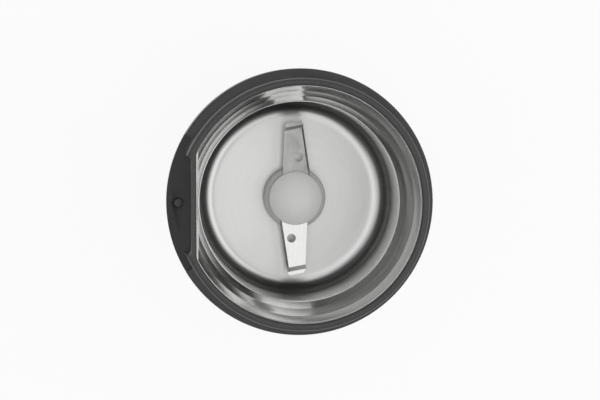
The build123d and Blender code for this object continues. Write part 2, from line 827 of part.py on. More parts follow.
brush_start = commutator_radius / 2
brush_end = commutator_radius + running_clearance + brush_length
with BuildPart() as carbon_brushes:
    for side in (-1, 1):
        with Locations((side * (brush_start + brush_end) / 2, 0, brush_height)):
            Box(brush_end - brush_start, brush_width, brush_width)
    with Locations((0, 0, commutator_bottom)):
        Cylinder(
            commutator_radius + running_clearance, commutator_height, align=STAND, mode=Mode.SUBTRACT
        )
write(carbon_brushes, "carbon_brushes")

cap_start = holder_end - brush_cap_length
with BuildPart() as brush_caps:
    for side in (-1, 1):
        with Locations((side * (cap_start + brush_cap_length / 2), 0, brush_height)):
            Box(brush_cap_length, brush_width, brush_width)
        with Locations((side * (holder_end + holder_wall / 4), 0, brush_height)):
            Box(holder_wall / 2, 2 * holder_half, 2 * holder_half)
write(brush_caps, "brush_caps")


def coil_spring(mean_radius, length, turns, wire):
    """A round-wire compression spring standing on the origin."""
    path = Pos(0, 0, wire / 2) * Helix(pitch=(length - wire) / turns, height=length - wire, radius=mean_radius)
    with BuildPart() as spring:
        with BuildSketch(Plane(origin=path @ 0, z_dir=path % 0)):
            Circle(wire / 2)
        sweep(path=path, is_frenet=True)
    return spring.part


spring_room = cap_start - brush_end - 2 * fit_clearance
brush_spring_form = coil_spring(brush_spring_radius, spring_room, brush_spring_turns, spring_wire)
with BuildPart() as brush_springs:
    for side in (-1, 1):
        seat_place = Plane(origin=(side * (brush_end + fit_clearance), 0, brush_height), z_dir=(side, 0, 0))
        with Locations(seat_place.location):
            add(brush_spring_form)
write(brush_springs, "brush_springs")


# ---------------------------------------------------------------- motor plate with the switch cradle
switch_inner = bowl_lower_radius + bowl_sheet + 2 * small_gap
switch_x = -(switch_inner + switch_width / 2)
switch_top = plate_top + switch_height
platform_reach = switch_inner + switch_width + small_gap
post_depth = switch_width - 2 * bowl_sheet
post_y = switch_length / 2 + fit_clearance + post_width / 2
terminal_spots = [(switch_x, -switch_length / 3), (switch_x, switch_length / 3)]
ear_radius = boss_radius + small_gap

with BuildPart() as motor_plate:
    with BuildSketch(Plane.XY.offset(plate_bottom)):
        Circle(plate_radius)
        with PolarLocations(boss_circle, boss_count, start_angle=boss_angles[0]):
            Circle(ear_radius)
        with PolarLocations(plate_radius, boss_count, start_angle=boss_angles[0]):
            Rectangle(2 * (boss_circle - plate_radius), 2 * ear_radius)
        with Locations((-platform_reach, 0)):
            Rectangle(platform_reach, 2 * post_y + post_width, align=(Align.MIN, Align.CENTER))
        Circle(boss_circle + ear_radius, mode=Mode.INTERSECT)
    extrude(amount=plate_thickness)
    with Locations((0, 0, plate_hub_bottom)):
        Cylinder(plate_hub_radius, plate_hub_depth, align=STAND)
    with Locations(*[(x, y, core_top) for x, y in bolt_spots]):
        Cylinder(pillar_radius, plate_bottom - core_top, align=STAND)
    with Locations((switch_x, post_y, plate_top), (switch_x, -post_y, plate_top)):
        Box(post_depth, post_width, switch_height, align=STAND)
    with Locations((0, 0, plate_hub_bottom)):
        Cylinder(bush_radius, plate_top - plate_hub_bottom, align=STAND, mode=Mode.SUBTRACT)
    with Locations(*[(x, y, core_top) for x, y in bolt_spots]):
        Cylinder(bolt_radius, plate_top - core_top, align=STAND, mode=Mode.SUBTRACT)
    with PolarLocations(boss_circle, boss_count, start_angle=boss_angles[0]):
        with Locations((0, 0, plate_bottom)):
            Cylinder(bolt_radius + fit_clearance, plate_thickness, align=STAND, mode=Mode.SUBTRACT)
    with Locations(*[(x, y, plate_bottom) for x, y in terminal_spots]):
        Box(
            terminal_thickness + 2 * fit_clearance,
            terminal_width + 2 * fit_clearance,
            plate_thickness,
            align=STAND,
            mode=Mode.SUBTRACT,
        )
write(motor_plate, "motor_plate")

with BuildPart() as through_bolts:
    with Locations(*[(x, y, bracket_bottom) for x, y in bolt_spots]):
        Cylinder(bolt_radius, plate_top - bracket_bottom, align=STAND)
    with Locations(*[(x, y, bracket_bottom - screw_head_height) for x, y in bolt_spots]):
        Cylinder(screw_head_radius, screw_head_height, align=STAND)
write(through_bolts, "through_bolts")

with BuildPart() as mounting_washers:
    with PolarLocations(boss_circle, boss_count, start_angle=boss_angles[0]):
        with Locations((0, 0, plate_top)):
            Cylinder(boss_radius, gasket_thickness, align=STAND)
            Cylinder(bolt_radius, gasket_thickness, align=STAND, mode=Mode.SUBTRACT)
write(mounting_washers, "mounting_washers")

with BuildPart() as plate_screws:
    with PolarLocations(boss_circle, boss_count, start_angle=boss_angles[0]):
        with Locations((0, 0, plate_bottom)):
            Cylinder(bolt_radius, plate_thickness + gasket_thickness + fan_height, align=STAND)
        with Locations((0, 0, plate_bottom - screw_head_height)):
            Cylinder(screw_head_radius, screw_head_height, align=STAND)
write(plate_screws, "plate_screws")


# ---------------------------------------------------------------- start plunger, its spring and retainer
plunger_clear_x = plunger_x - plunger_radius
guide_bottom = ledge_bottom - guide_length
flange_top = guide_bottom - small_gap
flange_bottom = flange_top - plunger_flange
shelf_top = flange_bottom - spring_length
shelf_bottom = shelf_top - retainer_wall
stem_bottom = shelf_bottom - retainer_wall
retainer_half = plunger_flange_radius + small_gap + retainer_wall

with BuildPart() as start_plunger:
    with Locations((plunger_x, 0, flange_top)):
        Cylinder(plunger_radius, ledge_top - flange_top, align=STAND)
    with BuildSketch(Plane.XY.offset(flange_bottom)):
        with Locations((plunger_x, 0)):
            Circle(plunger_flange_radius)
        with Locations((plunger_clear_x, 0)):
            Rectangle(
                body_radius, body_radius, align=(Align.MIN, Align.CENTER), mode=Mode.INTERSECT
            )
    extrude(amount=plunger_flange)
    with Locations((plunger_x, 0, stem_bottom)):
        Cylinder(plunger_stem_radius, flange_bottom - stem_bottom, align=STAND)
write(start_plunger, "start_plunger")

plunger_spring_form = coil_spring(plunger_radius - spring_wire / 2, spring_length, spring_turns, spring_wire)
with BuildPart() as plunger_spring:
    with Locations((plunger_x, 0, shelf_top)):
        add(plunger_spring_form)
write(plunger_spring, "plunger_spring")

retainer_inner_x = plunger_x + plunger_flange_radius
retainer_outer_x = plunger_x
with BuildPart() as plunger_retainer:
    with Locations(((retainer_inner_x + retainer_outer_x) / 2, 0, shelf_bottom)):
        Box(retainer_inner_x - retainer_outer_x, 2 * retainer_half, ledge_bottom - shelf_bottom, align=STAND)
        with Locations((0, 0, retainer_wall)):
            Box(
                retainer_inner_x - retainer_outer_x,
                2 * (retainer_half - retainer_wall),
                ledge_bottom - shelf_top,
                align=STAND,
                mode=Mode.SUBTRACT,
            )
    with Locations((plunger_x, 0, shelf_bottom)):
        Cylinder(plunger_stem_radius + small_gap, retainer_wall, align=STAND)
        Cylinder(
            plunger_stem_radius + running_clearance, retainer_wall, align=STAND, mode=Mode.SUBTRACT
        )
write(plunger_retainer, "plunger_retainer")


# ---------------------------------------------------------------- microswitch
pivot_y = -switch_length / 2 + button_radius
pivot_z = switch_top + lever_pivot_height
lever_x = switch_x
lever_reach = lever_strip / 2 - pivot_y
button_y = pivot_y + button_reach
button_top = pivot_z + button_reach * math.tan(math.radians(lever_rest_angle)) - small_gap
button_travel = -plunger_travel * button_reach / pivot_y
button_hole_depth = button_depth + button_travel
ear_x = lever_strip / 2 + fit_clearance + lever_ear / 2

with BuildPart() as switch_body:
    with Locations((switch_x, 0, plate_top)):
        Box(switch_width, switch_length, switch_height, align=STAND)
    chamfer(switch_body.edges().filter_by(Axis.Z), small_gap)
    for side in (-1, 1):
        with Locations((lever_x + side * ear_x, pivot_y, switch_top)):
            Box(lever_ear, 2 * button_radius, lever_pivot_height + 2 * lever_pivot_radius, align=STAND)
    with Locations(Location((lever_x, pivot_y, pivot_z), (0, 90, 0))):
        Cylinder(lever_pivot_radius + running_clearance, switch_width, mode=Mode.SUBTRACT)
    with Locations((lever_x, button_y, switch_top - button_hole_depth)):
        Cylinder(button_radius + running_clearance, button_hole_depth, align=STAND, mode=Mode.SUBTRACT)
write(switch_body, "switch_body")

with BuildPart() as switch_lever:
    with Locations(Location((lever_x, pivot_y, pivot_z), (lever_rest_angle, 0, 0))):
        with Locations((0, lever_reach / 2, lever_thickness / 2)):
            Box(lever_strip, lever_reach, lever_thickness)
        pad_width = -plunger_x + plunger_stem_radius / 2 + lever_x
        with Locations((-pad_width / 2, lever_reach - lever_strip / 2, lever_thickness / 2)):
            Box(pad_width, lever_strip, lever_thickness)
    with Locations(Location((lever_x, pivot_y, pivot_z), (0, 90, 0))):
        Cylinder(lever_pivot_radius, lever_strip + 2 * fit_clearance + lever_ear)
write(switch_lever, "switch_lever")

with BuildPart() as switch_button:
    with Locations((lever_x, button_y, switch_top - button_depth + small_gap)):
        Cylinder(button_radius, button_top - switch_top + button_depth - small_gap, align=STAND)
    fillet(switch_button.edges().sort_by(Axis.Z)[-1], button_radius / 2)
write(switch_button, "switch_button")

with BuildPart() as switch_terminals:
    with Locations(*[(x, y, plate_top - terminal_length) for x, y in terminal_spots]):
        Box(terminal_thickness, terminal_width, terminal_length, align=STAND)
write(switch_terminals, "switch_terminals")


# ---------------------------------------------------------------- suppression capacitor
with BuildPart() as suppression_capacitor:
    with PolarLocations(bolt_circle - capacitor_width, 1, start_angle=capacitor_angle):
        with Locations((0, 0, bracket_top)):
            Box(capacitor_width, capacitor_length, capacitor_height, align=STAND)
    fillet(suppression_capacitor.edges().filter_by(Axis.Z), small_gap)
write(suppression_capacitor, "suppression_capacitor")
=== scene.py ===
import bmesh
import bpy
import json
import math
from mathutils import Matrix, Vector


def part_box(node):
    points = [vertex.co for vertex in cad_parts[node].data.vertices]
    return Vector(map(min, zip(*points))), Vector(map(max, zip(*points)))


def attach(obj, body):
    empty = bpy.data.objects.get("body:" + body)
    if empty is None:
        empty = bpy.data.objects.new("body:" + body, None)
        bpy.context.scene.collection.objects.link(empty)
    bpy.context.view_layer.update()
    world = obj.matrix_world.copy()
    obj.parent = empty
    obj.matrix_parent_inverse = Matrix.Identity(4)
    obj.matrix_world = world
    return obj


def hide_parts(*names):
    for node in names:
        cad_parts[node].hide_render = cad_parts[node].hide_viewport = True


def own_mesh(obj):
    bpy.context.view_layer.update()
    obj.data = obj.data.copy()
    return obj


# An electric spice grinder with its lid off: steel bowl, two-armed blade, start plunger, tapered housing.
# Metres. +Z is up along the blade shaft, the plunger ledge is towards -X and the cord gland towards +X.

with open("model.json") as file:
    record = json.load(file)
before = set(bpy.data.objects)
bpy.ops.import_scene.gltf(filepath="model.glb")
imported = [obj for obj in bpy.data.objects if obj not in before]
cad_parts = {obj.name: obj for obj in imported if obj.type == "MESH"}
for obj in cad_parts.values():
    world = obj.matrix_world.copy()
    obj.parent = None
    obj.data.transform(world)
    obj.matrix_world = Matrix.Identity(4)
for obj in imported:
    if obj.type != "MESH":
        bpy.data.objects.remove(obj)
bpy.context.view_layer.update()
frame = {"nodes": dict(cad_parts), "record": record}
NODES = frame["nodes"]
SLOT_OF = {row["node"]: row["material_slot"] for row in frame["record"]["subparts"]}
MM = 0.001


def add_object(name, data):
    """Puts a new object with the given mesh, lamp or camera into the scene."""
    thing = bpy.data.objects.new(name, data)
    bpy.context.scene.collection.objects.link(thing)
    return thing


# ---------------------------------------------------------------- node helpers
def put(tree, value, socket):
    """Sets a socket to a number, or links another socket into it."""
    if isinstance(value, (int, float)):
        socket.default_value = value
    else:
        tree.links.new(value, socket)


def calc(tree, operation, first, second=None, third=None, clamp=False):
    """One Math node. Each operand is a socket or a number."""
    node = tree.nodes.new("ShaderNodeMath")
    node.operation = operation
    node.use_clamp = clamp
    for slot, operand in enumerate((first, second, third)):
        if operand is not None:
            put(tree, operand, node.inputs[slot])
    return node.outputs[0]


def vector_calc(tree, operation, first, second=None):
    """One Vector Math node on one or two vector sockets."""
    node = tree.nodes.new("ShaderNodeVectorMath")
    node.operation = operation
    tree.links.new(first, node.inputs[0])
    if second is not None:
        tree.links.new(second, node.inputs[1])
    return node.outputs["Value" if operation == "LENGTH" else "Vector"]


def split(tree, vector):
    """The X, Y and Z sockets of a vector."""
    node = tree.nodes.new("ShaderNodeSeparateXYZ")
    tree.links.new(vector, node.inputs[0])
    return node.outputs


def join(tree, x, y, z):
    """A vector from three sockets or numbers."""
    node = tree.nodes.new("ShaderNodeCombineXYZ")
    for value, socket in zip((x, y, z), node.inputs):
        put(tree, value, socket)
    return node.outputs[0]


def remap(tree, value, from_range, to_range=(0.0, 1.0), smooth=False):
    """Maps a value from one range to another and holds it at the ends."""
    node = tree.nodes.new("ShaderNodeMapRange")
    node.interpolation_type = "SMOOTHSTEP" if smooth else "LINEAR"
    numbers = (*from_range, *to_range)
    for label, number in zip(("From Min", "From Max", "To Min", "To Max"), numbers):
        node.inputs[label].default_value = number
    tree.links.new(value, node.inputs["Value"])
    return node.outputs["Result"]


def noise(tree, vector, scale, detail, roughness=0.5):
    """A noise texture's value. The scale is a socket or a number."""
    node = tree.nodes.new("ShaderNodeTexNoise")
    node.inputs["Detail"].default_value = detail
    node.inputs["Roughness"].default_value = roughness
    put(tree, scale, node.inputs["Scale"])
    tree.links.new(vector, node.inputs["Vector"])
    return node.outputs["Fac"]


def object_place(tree):
    """Where a point lies on its own object."""
    return tree.nodes.new("ShaderNodeTexCoord").outputs["Object"]


# ---------------------------------------------------------------- camera, lamps, room and floor
CAMERA_TARGET = Vector((-0.25, 0.9, 112.4)) * MM  # close to the middle of the lid shoulder
CAMERA_LEAN_LEFT = math.radians(5.2)
CAMERA_LEAN_BACK = math.radians(4.35)
CAMERA_DISTANCE = 0.55
CAMERA_LENS = 98.27
CAMERA_SENSOR = 36.0

ABOVE_BOWL = (0, 0, 0.12)  # the lamps face this place
LAMPS = (  # name, place, width, length along Y, brightness of its face
    ("top_softbox", (-0.2, 0, 1.7), 0.9, 1.3, 1.15),
    ("back_strip", (0.0, -0.92, 1.4), 0.9, 0.5, 1.4),
    ("front_strip", (0.0, 0.92, 1.4), 0.9, 0.5, 1.4),
    ("right_softbox", (0.95, 0.0, 1.45), 0.95, 2.2, 1.38),
    ("left_softbox", (-1.05, 0.0, 1.4), 0.75, 1.8, 0.9),
)

ROOM_AT_HORIZON = 0.85
ROOM_OVERHEAD = 0.16
ROOM_DARK_FROM = 0.6  # height on the unit sphere from which the room is as dark as overhead

FLOOR_REACH = 3.0
FLOOR_GREY = 0.86
FLOOR_GLOW = 1.02  # brightness of the paper to the camera and in reflections
FLOOR_GLOW_SHARE = 0.88


def aim(place, target, up):
    """A placement that looks from place to target with the given direction upwards in the picture."""
    back = (Vector(place) - Vector(target)).normalized()
    right = Vector(up).cross(back).normalized()
    turned = Matrix((right, back.cross(right), back)).transposed().to_4x4()
    return Matrix.Translation(Vector(place)) @ turned


def bench_camera():
    """Looks almost straight down into the bowl, from a little to the left and behind."""
    lean = Vector((-math.tan(CAMERA_LEAN_LEFT), math.tan(CAMERA_LEAN_BACK), 1.0)).normalized()
    lens = bpy.data.cameras.new("bench_camera")
    lens.sensor_width = CAMERA_SENSOR
    lens.lens = CAMERA_LENS
    camera = add_object("bench_camera", lens)
    camera.matrix_world = aim(CAMERA_TARGET + lean * CAMERA_DISTANCE, CAMERA_TARGET, (0, 1, 0))
    bpy.context.scene.camera = camera


def softbox(name, place, width, length, brightness):
    """A flat studio lamp whose face has the given brightness."""
    lamp = bpy.data.lights.new(name, "AREA")
    lamp.shape = "RECTANGLE"
    lamp.size = width
    lamp.size_y = length
    lamp.energy = brightness * math.pi * width * length
    add_object(name, lamp).matrix_world = aim(place, ABOVE_BOWL, (0, 1, 0.01))


def light_room():
    """A plain room that is brighter near the horizon than overhead."""
    world = bpy.data.worlds.new("studio_room")
    bpy.context.scene.world = world
    world.use_nodes = True
    tree = world.node_tree
    height = split(tree, tree.nodes.new("ShaderNodeTexCoord").outputs["Generated"])["Z"]
    brightness = remap(tree, height, (0.0, ROOM_DARK_FROM), (ROOM_AT_HORIZON, ROOM_OVERHEAD), smooth=True)
    background = tree.nodes["Background"]
    background.inputs["Color"].default_value = (1, 1, 1, 1)
    tree.links.new(brightness, background.inputs["Strength"])


def lay_floor():
    """A pale paper floor that stays pale to the camera and in the steel."""
    near, far = -FLOOR_REACH, FLOOR_REACH
    mesh = bpy.data.meshes.new("studio_floor")
    mesh.from_pydata([(near, near, 0), (far, near, 0), (far, far, 0), (near, far, 0)], [], [(0, 1, 2, 3)])
    floor = add_object("studio_floor", mesh)
    paper = bpy.data.materials.new("floor_paper")
    paper.use_nodes = True
    tree = paper.node_tree
    tree.nodes.clear()
    out = tree.nodes.new("ShaderNodeOutputMaterial")
    blend = tree.nodes.new("ShaderNodeMixShader")
    matt = tree.nodes.new("ShaderNodeBsdfDiffuse")
    matt.inputs["Color"].default_value = (FLOOR_GREY, FLOOR_GREY, FLOOR_GREY, 1)
    glow = tree.nodes.new("ShaderNodeEmission")
    glow.inputs["Strength"].default_value = FLOOR_GLOW
    ray = tree.nodes.new("ShaderNodeLightPath")
    seen = calc(tree, "MAXIMUM", ray.outputs["Is Camera Ray"], ray.outputs["Is Glossy Ray"])
    tree.links.new(calc(tree, "MULTIPLY", seen, FLOOR_GLOW_SHARE), blend.inputs[0])
    tree.links.new(matt.outputs[0], blend.inputs[1])
    tree.links.new(glow.outputs[0], blend.inputs[2])
    tree.links.new(blend.outputs[0], out.inputs["Surface"])
    mesh.materials.append(paper)


bench_camera()
for lamp_row in LAMPS:
    softbox(*lamp_row)
light_room()
lay_floor()
bpy.context.scene.view_settings.view_transform = "Standard"


# ---------------------------------------------------------------- shared surface effects
def effect(name, inputs, outputs):
    """An empty shader node group with the named number inputs, and its ends."""
    group = bpy.data.node_groups.new(name, "ShaderNodeTree")
    for label, value in inputs.items():
        socket = group.interface.new_socket(label, in_out="INPUT", socket_type="NodeSocketFloat")
        socket.default_value = value
    for label in outputs:
        group.interface.new_socket(label, in_out="OUTPUT", socket_type="NodeSocketFloat")
    return group, group.nodes.new("NodeGroupInput").outputs, group.nodes.new("NodeGroupOutput").inputs


def average(tree, first, second):
    """The mean of two number sockets."""
    return calc(tree, "MULTIPLY", calc(tree, "ADD", first, second), 0.5)


def moulded_grain():
    """The fine spark-eroded grain of a moulding, with slow cloudy changes of tone."""
    fine_share = 0.35
    settings = {"Grain Size": 2600.0, "Cloud Size": 38.0}
    tree, given, made = effect("moulded_grain", settings, ("Height", "Tone"))
    place = object_place(tree)
    fine = noise(tree, place, given["Grain Size"], detail=3.0, roughness=0.6)
    cloud = noise(tree, place, given["Cloud Size"], detail=4.0)
    tree.links.new(fine, made["Height"])
    rest = calc(tree, "MULTIPLY", cloud, 1 - fine_share)
    tree.links.new(calc(tree, "MULTIPLY_ADD", fine, fine_share, rest), made["Tone"])
    return tree


def turned_marks():
    """Fine circular marks round the shaft, as spinning and polishing leave them."""
    broad_share = 0.12  # fineness of the broad bands against that of the lines
    tree, given, made = effect("turned_marks", {"Fineness": 5200.0, "Breakup": 5.0}, ("Height", "Tone"))
    place = split(tree, object_place(tree))
    level = join(tree, place["X"], place["Y"], 0.0)
    way = split(tree, vector_calc(tree, "NORMALIZE", level))
    along = calc(tree, "ADD", vector_calc(tree, "LENGTH", level), place["Z"])
    groove = join(
        tree,
        calc(tree, "MULTIPLY", way["X"], given["Breakup"]),
        calc(tree, "MULTIPLY", way["Y"], given["Breakup"]),
        calc(tree, "MULTIPLY", along, given["Fineness"]),
    )
    broad = vector_calc(tree, "MULTIPLY", groove, join(tree, 1.0, 1.0, broad_share))
    lines = noise(tree, groove, 1.0, detail=4.0, roughness=0.7)
    bands = noise(tree, broad, 1.0, detail=2.0)
    tree.links.new(lines, made["Height"])
    tree.links.new(average(tree, lines, bands), made["Tone"])
    return tree


def straight_marks():
    """Fine straight grinding marks that run along a stamped part."""
    cloud_size = 120.0
    settings = {"Fineness": 3200.0, "Stretch": 0.03}
    tree, given, made = effect("straight_marks", settings, ("Height", "Tone"))
    place = object_place(tree)
    drawn = vector_calc(tree, "MULTIPLY", place, join(tree, 1.0, given["Stretch"], 1.0))
    lines = noise(tree, drawn, given["Fineness"], detail=3.0, roughness=0.65)
    cloud = noise(tree, place, cloud_size, detail=3.0)
    tree.links.new(lines, made["Height"])
    tree.links.new(average(tree, lines, cloud), made["Tone"])
    return tree


def handling_wear():
    """Faint smudges and rubbed patches that change how dull a surface is."""
    clean_below, contrast = 0.42, 4.0
    tree, given, made = effect("handling_wear", {"Patch Size": 60.0, "Amount": 0.3}, ("Mask",))
    patches = noise(tree, object_place(tree), given["Patch Size"], detail=6.0, roughness=0.65)
    spread = calc(tree, "MULTIPLY", calc(tree, "SUBTRACT", patches, clean_below), contrast, clamp=True)
    tree.links.new(calc(tree, "MULTIPLY", spread, given["Amount"]), made["Mask"])
    return tree


EFFECTS = {}
for make_effect in (moulded_grain, turned_marks, straight_marks, handling_wear):
    EFFECTS[make_effect.__name__] = make_effect()


def place_effect(tree, name, values):
    """The outputs of a shared effect, with some of its inputs set."""
    node = tree.nodes.new("ShaderNodeGroup")
    node.node_tree = EFFECTS[name]
    for label, value in values.items():
        node.inputs[label].default_value = value
    return node.outputs


def blended(tree, share, first, second):
    """A colour on the way from a first to a second. The first may be a socket."""
    node = tree.nodes.new("ShaderNodeMix")
    node.data_type = "RGBA"
    if isinstance(first, tuple):
        node.inputs["A"].default_value = (*first, 1)
    else:
        tree.links.new(first, node.inputs["A"])
    node.inputs["B"].default_value = (*second, 1)
    tree.links.new(share, node.inputs["Factor"])
    return node.outputs["Result"]


def band_mask(tree, low, middle, high):
    """Rises from 0 at one height to 1 at a second and falls back to 0 at a third, in millimetres."""
    height = split(tree, object_place(tree))["Z"]
    rising = remap(tree, height, (low * MM, middle * MM), smooth=True)
    falling = remap(tree, height, (high * MM, middle * MM), smooth=True)
    return calc(tree, "MINIMUM", rising, falling)


def painted_shade_mask(tree, height):
    """1 on the level faces at one height, in millimetres, and 0 elsewhere: where painted shade goes."""
    level_from, fade = 0.9, 0.5
    upward = split(tree, tree.nodes.new("ShaderNodeNewGeometry").outputs["Normal"])["Z"]
    level = calc(tree, "GREATER_THAN", upward, level_from)
    return calc(tree, "MULTIPLY", level, band_mask(tree, height - fade, height, height + fade))


# ---------------------------------------------------------------- finishes
WEAR_DULLING = 0.2
COAT_ROUGHNESS = 0.25
BOWL_POLISH = (107.0, 109.0, 0.32)  # satin up to here, polished from here, share of the dullness left
BOWL_PAINTED_DARK_RING = (83.42, 84.5, 90.8)  # start, darkest and end height of a band of painted dark reflection on the bowl's fillet
SHADED_LEDGE_HEIGHT = 109.4  # the plunger ledge gets painted shade, a darker colour for the shade that the collar's wall casts on it
FINISH = {}


def grey(value):
    """A near-neutral colour."""
    return (value, value, value * 0.99)


def add_finish(
    name, marks, dark, light, rough, relief,
    metal=0.0, wear=0.25, coat=0.0, polish=None, ring=None, painted_shade_shelf=None, settings=None,
):
    """Makes a finish whose colour, dullness and relief come from its marks and its wear, with a painted dark
    reflection from a ring and painted shade from a shelf where given.
    """
    material = bpy.data.materials.new(name)
    material.use_nodes = True
    tree = material.node_tree
    shader = tree.nodes["Principled BSDF"].inputs
    shader["Metallic"].default_value = metal
    shader["Coat Weight"].default_value = coat
    shader["Coat Roughness"].default_value = COAT_ROUGHNESS
    worked = place_effect(tree, marks, settings or {})
    worn = place_effect(tree, "handling_wear", {"Amount": wear})
    colour = blended(tree, worked["Tone"], dark, light)
    # a ring paints a dark reflection: a darker band in the base colour between three heights
    if ring:
        painted_dark_colour, *heights = ring
        colour = blended(tree, band_mask(tree, *heights), colour, painted_dark_colour)
    # a shelf paints shade: a darker colour on the level faces at one height
    if painted_shade_shelf:
        painted_shade_colour, level = painted_shade_shelf
        colour = blended(tree, painted_shade_mask(tree, level), colour, painted_shade_colour)
    tree.links.new(colour, shader["Base Color"])
    base = remap(tree, worked["Tone"], (0.0, 1.0), rough)
    dull = calc(tree, "MULTIPLY_ADD", worn["Mask"], WEAR_DULLING, base)
    if polish:
        satin_top, polished_from, share_left = polish
        height = split(tree, object_place(tree))["Z"]
        shine = remap(tree, height, (satin_top * MM, polished_from * MM), (1.0, share_left))
        dull = calc(tree, "MULTIPLY", dull, shine)
    tree.links.new(dull, shader["Roughness"])
    strength, depth = relief
    bump = tree.nodes.new("ShaderNodeBump")
    bump.inputs["Strength"].default_value = strength
    bump.inputs["Distance"].default_value = depth * MM
    tree.links.new(worked["Height"], bump.inputs["Height"])
    tree.links.new(bump.outputs["Normal"], shader["Normal"])
    FINISH[name] = material


# Name, marks, dark and light colour, least and most roughness, strength and depth of the relief.
# A ring is a colour and three heights for a band of painted dark reflection, a shelf is a colour and one
# height for painted shade on level faces, all in millimetres.
add_finish(
    "housing_plastic", "moulded_grain", grey(0.034), grey(0.055), (0.32, 0.44), (0.25, 0.06),
    # painted shade on the plunger ledge, where the collar shades it
    painted_shade_shelf=(grey(0.010), SHADED_LEDGE_HEIGHT),
)
add_finish("plunger_plastic", "moulded_grain", grey(0.038), grey(0.058), (0.36, 0.5), (0.2, 0.05))
add_finish(
    "bowl_steel", "turned_marks", grey(0.60), grey(0.72), (0.28, 0.38), (0.03, 0.02),
    # the ring is a painted dark reflection on the bowl's fillet, darker than the steel's own colour
    metal=1.0, wear=0.1, polish=BOWL_POLISH, ring=(grey(0.15), *BOWL_PAINTED_DARK_RING),
    settings={"Breakup": 2.0},
)
add_finish(
    "blade_steel", "straight_marks", grey(0.54), grey(0.80), (0.14, 0.28), (0.14, 0.02),
    metal=1.0, settings={"Fineness": 1500.0},
)
add_finish(
    "cap_plastic", "moulded_grain", grey(0.66), grey(0.74), (0.30, 0.38), (0.08, 0.03),
    settings={"Grain Size": 3400.0},
)
add_finish("seat_plastic", "moulded_grain", grey(0.52), grey(0.62), (0.34, 0.46), (0.15, 0.04))
add_finish(
    "rubber", "moulded_grain", grey(0.020), grey(0.034), (0.6, 0.8), (0.3, 0.08),
    settings={"Grain Size": 1800.0},
)
add_finish("nylon", "moulded_grain", (0.66, 0.64, 0.58), (0.78, 0.76, 0.70), (0.4, 0.5), (0.15, 0.04))
add_finish("phenolic", "moulded_grain", (0.07, 0.035, 0.02), (0.12, 0.07, 0.04), (0.3, 0.45), (0.2, 0.05))
add_finish(
    "bronze", "turned_marks", (0.48, 0.31, 0.14), (0.62, 0.44, 0.22), (0.3, 0.45), (0.15, 0.02),
    metal=1.0,
)
add_finish(
    "copper", "turned_marks", (0.55, 0.22, 0.10), (0.78, 0.40, 0.22), (0.25, 0.4), (0.5, 0.2),
    metal=1.0, settings={"Fineness": 1500.0},
)
add_finish(
    "core_steel", "turned_marks", grey(0.16), grey(0.28), (0.4, 0.55), (0.4, 0.1),
    metal=0.6, settings={"Fineness": 1900.0},
)
add_finish("shaft_steel", "turned_marks", grey(0.55), grey(0.65), (0.12, 0.22), (0.1, 0.01), metal=1.0)
add_finish("screw_steel", "straight_marks", grey(0.46), grey(0.60), (0.3, 0.42), (0.1, 0.02), metal=1.0)
add_finish("carbon", "moulded_grain", grey(0.03), grey(0.06), (0.5, 0.7), (0.3, 0.05))
add_finish(
    "film", "moulded_grain", (0.55, 0.45, 0.08), (0.70, 0.60, 0.14), (0.2, 0.3), (0.1, 0.03),
    coat=0.3,
)


# ---------------------------------------------------------------- making pieces
SHARP_ANGLE = 32.0  # degrees between two faces from which their edge is sharp
CAD_MERGE_DISTANCE = 2e-6
SKIN_MERGE_DISTANCE = 1e-7
LEVEL_ANGLE = math.radians(0.6)  # faces that differ by less than this become one


class Editing:
    """Opens a mesh, or the shape of a source mesh, for editing and writes the result into the mesh."""

    def __init__(self, mesh, source=None):
        self.mesh = mesh
        self.work = bmesh.new()
        self.work.from_mesh(source or mesh)

    def __enter__(self):
        return self.work

    def __exit__(self, *problem):
        self.work.to_mesh(self.mesh)
        self.work.free()


def evaluated_copy(carrier):
    """The carrier's mesh with its modifiers applied. The carrier goes."""
    shaped = bpy.data.meshes.new_from_object(carrier.evaluated_get(bpy.context.evaluated_depsgraph_get()))
    bpy.data.objects.remove(carrier)
    return shaped


def finish_piece(mesh, name, node, body, sharp_angle=SHARP_ANGLE):
    """Shades a finished mesh, gives it its finish and puts it in place of its CAD node."""
    limit = math.radians(sharp_angle)
    with Editing(mesh) as work:
        for face in work.faces:
            face.smooth = True
        for edge in work.edges:
            edge.smooth = edge.is_manifold and edge.calc_face_angle(0.0) < limit
    mesh.materials.clear()
    mesh.materials.append(FINISH[SLOT_OF[node]])
    piece = add_object(name, mesh)
    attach(piece, body)
    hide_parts(node)
    return piece


def eased_copy(node, name, body, ease=0.0, shaping=None, shade_angle=SHARP_ANGLE):
    """A merged copy of a CAD node with its sharp edges eased by some millimetres."""
    mesh = bpy.data.meshes.new(name)
    with Editing(mesh, NODES[node].data) as work:
        bmesh.ops.remove_doubles(work, verts=work.verts, dist=CAD_MERGE_DISTANCE)
        bmesh.ops.dissolve_degenerate(work, edges=work.edges, dist=CAD_MERGE_DISTANCE)
        if ease:
            bmesh.ops.dissolve_limit(
                work,
                angle_limit=LEVEL_ANGLE,
                use_dissolve_boundaries=False,
                verts=work.verts,
                edges=work.edges,
            )
    if ease:
        carrier = add_object(name + "_carrier", mesh)
        bevel = carrier.modifiers.new("ease", "BEVEL")
        bevel.width = ease * MM
        bevel.segments = 2
        bevel.limit_method = "ANGLE"
        bevel.angle_limit = math.radians(SHARP_ANGLE)
        bevel.use_clamp_overlap = True
        mesh = evaluated_copy(carrier)
    if shaping:
        shaping(mesh)
    return finish_piece(mesh, name, node, body, shade_angle)


